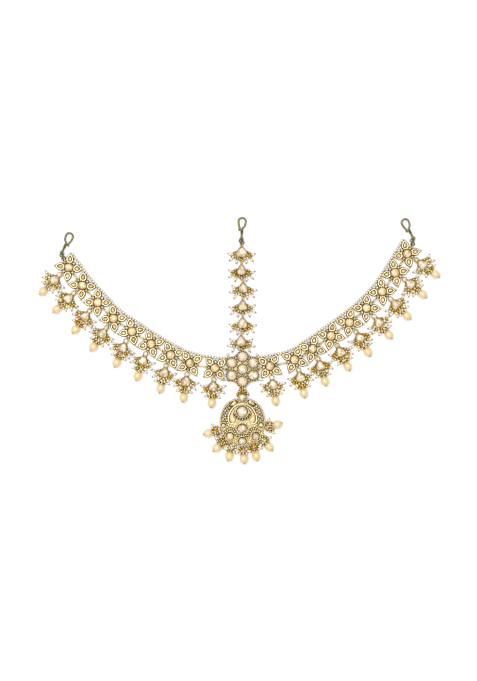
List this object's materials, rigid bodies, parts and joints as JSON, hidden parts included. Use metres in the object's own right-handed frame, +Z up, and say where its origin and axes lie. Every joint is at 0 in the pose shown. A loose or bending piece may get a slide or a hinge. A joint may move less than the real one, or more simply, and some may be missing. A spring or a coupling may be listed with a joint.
{
  "type": "matha patti",
  "caption": "Bridal head ornament laid out flat: a curved forehead band of linked stone flowers with pearl drops, a round pendant, a parting chain and wire hooks.",
  "frame": {"origin": "middle of the bounding box, on the surface that the ornament lies on", "axes": "+Z up out of its face, +Y along the parting towards the crown, +X towards the wearer's left, along the band's length"},
  "size_m": [0.3042, 0.1882, 0.0058],
  "materials": {
    "antique_gold": "antique gold plate, darkened in the recesses",
    "dark_brass_wire": "darkened brass wire",
    "cream_pearl": "cream imitation pearl",
    "white_pearl": "white seed pearl",
    "cream_stone": "foil-backed cream stone",
    "peach_stone": "foil-backed peach stone"
  },
  "bodies": {
    "root": {"flower_left_1": "antique_gold", "drop_left_1": "cream_pearl", "flower_left_2": "antique_gold", "drop_left_2": "cream_pearl", "flower_left_3": "antique_gold", "drop_left_3": "cream_pearl", "flower_left_4": "antique_gold", "drop_left_4": "cream_pearl", "flower_left_5": "antique_gold", "drop_left_5": "cream_pearl", "flower_left_6": "antique_gold", "drop_left_6": "cream_pearl", "flower_left_7": "antique_gold", "drop_left_7": "cream_pearl", "flower_left_8": "antique_gold", "drop_left_8": "cream_pearl", "flower_left_9": "antique_gold", "drop_left_9": "cream_pearl", "pearl_string_left": "white_pearl", "flower_right_1": "antique_gold", "drop_right_1": "cream_pearl", "flower_right_2": "antique_gold", "drop_right_2": "cream_pearl", "flower_right_3": "antique_gold", "drop_right_3": "cream_pearl", "flower_right_4": "antique_gold", "drop_right_4": "cream_pearl", "flower_right_5": "antique_gold", "drop_right_5": "cream_pearl", "flower_right_6": "antique_gold", "drop_right_6": "cream_pearl", "flower_right_7": "antique_gold", "drop_right_7": "cream_pearl", "flower_right_8": "antique_gold", "drop_right_8": "cream_pearl", "flower_right_9": "antique_gold", "drop_right_9": "cream_pearl", "pearl_string_right": "white_pearl", "parting_link_1": "antique_gold", "parting_link_2": "antique_gold", "parting_link_3": "antique_gold", "parting_link_4": "antique_gold", "parting_link_5": "antique_gold", "parting_link_6": "antique_gold", "centrepiece": "antique_gold", "bail_link": "antique_gold", "pendant": "antique_gold", "pendant_drop_1": "cream_pearl", "pendant_drop_2": "cream_pearl", "pendant_drop_3": "cream_pearl", "pendant_drop_4": "cream_pearl", "pendant_drop_5": "cream_pearl", "pendant_drop_6": "cream_pearl", "pendant_drop_7": "cream_pearl", "hook_left": "dark_brass_wire", "hook_ring_left": "dark_brass_wire", "hook_centre": "dark_brass_wire", "hook_ring_centre": "dark_brass_wire", "hook_right": "dark_brass_wire", "hook_ring_right": "dark_brass_wire"}
  },
  "joints": []
}
